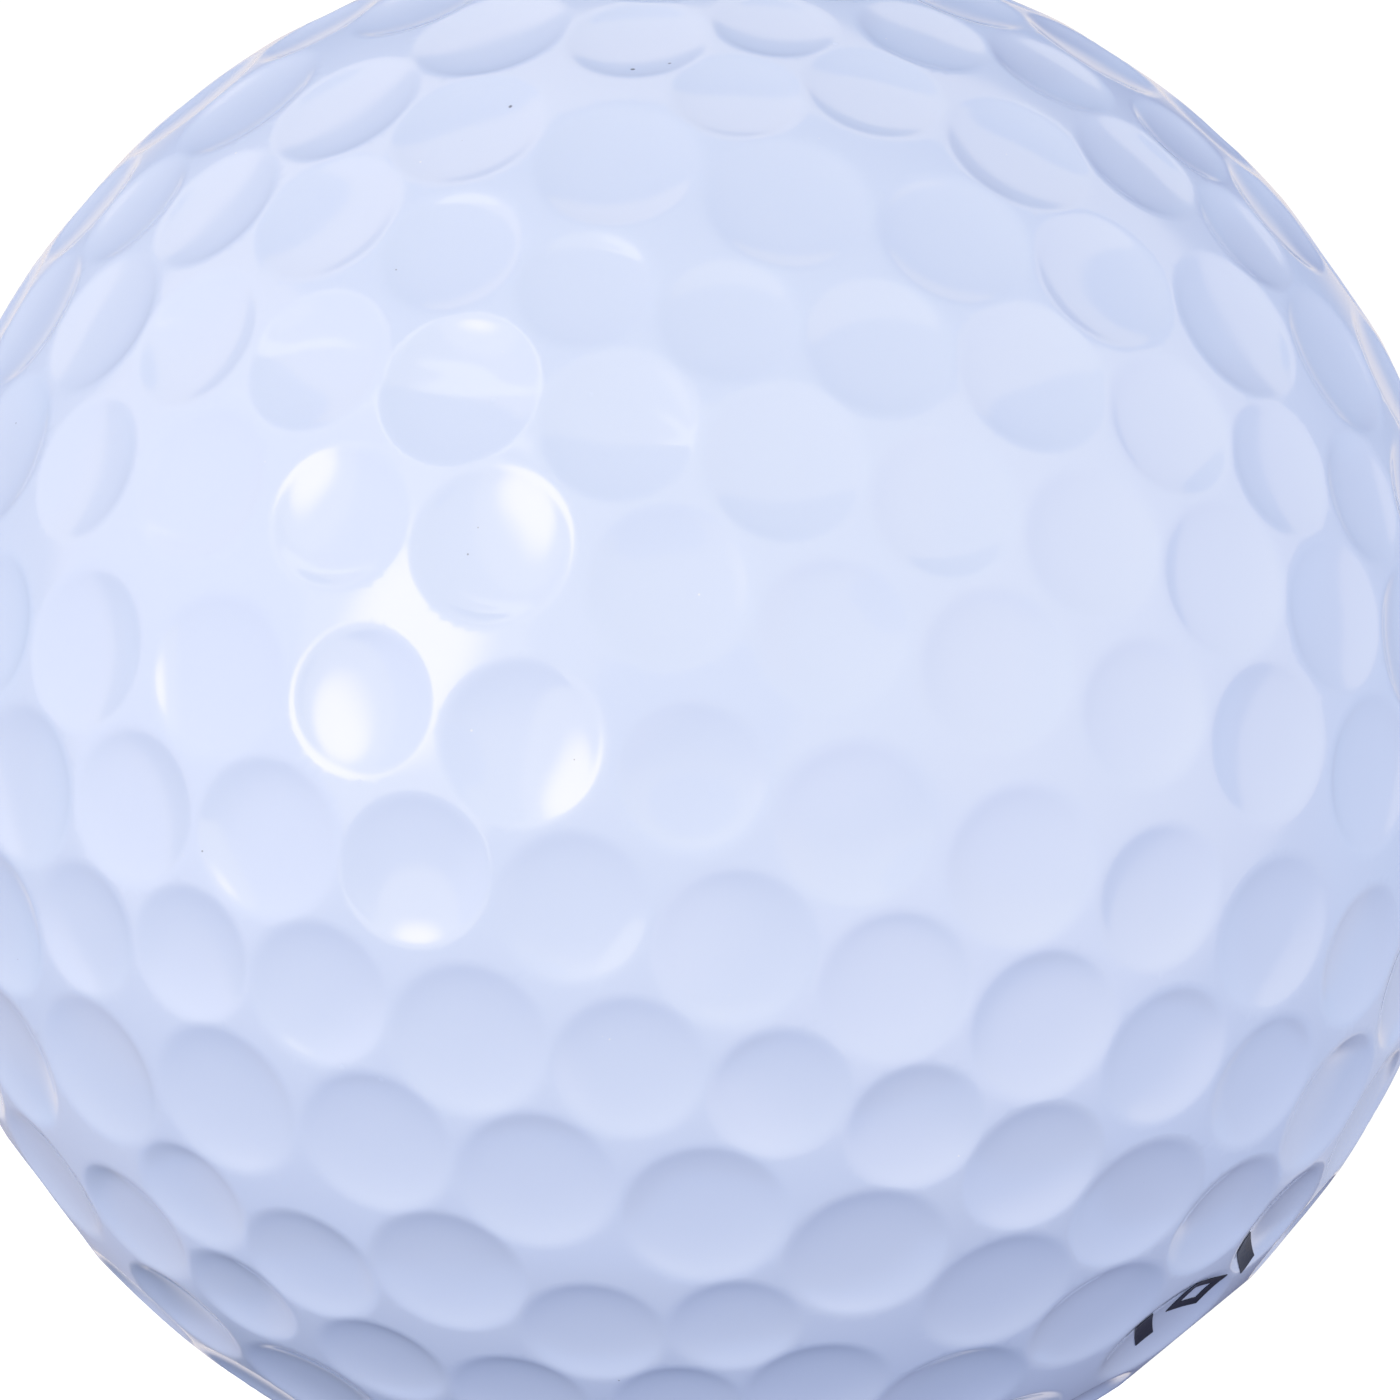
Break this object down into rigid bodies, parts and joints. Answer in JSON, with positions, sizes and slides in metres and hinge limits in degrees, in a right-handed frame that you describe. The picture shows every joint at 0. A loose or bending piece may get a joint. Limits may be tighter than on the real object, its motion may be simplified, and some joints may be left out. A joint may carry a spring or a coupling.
{
  "type": "golf ball",
  "caption": "White dimpled golf ball with a rubber core, a thin mantle, a cover moulded in two halves and a small printed alignment mark.",
  "frame": {"origin": "centre of the ball", "axes": "+Z along the pole axis, up, which is the axis the moulds open along, so the parting plane between the cover halves is XY; +X along a half-turn axis of the dimple pattern in the parting plane"},
  "size_m": [0.0427, 0.0426, 0.0426],
  "materials": {
    "core_rubber": "solid polybutadiene rubber, matte",
    "mantle_ionomer": "moulded ionomer, satin",
    "cover_white": "cool white pigmented elastomer under a gloss clear coat",
    "ink_black": "pad-printed black ink under the clear coat"
  },
  "bodies": {
    "root": {"core": "core_rubber", "mantle": "mantle_ionomer", "cover_upper_half": "cover_white", "cover_lower_half": "cover_white", "printed_bars": "ink_black", "printed_diamond": "ink_black"}
  },
  "joints": []
}
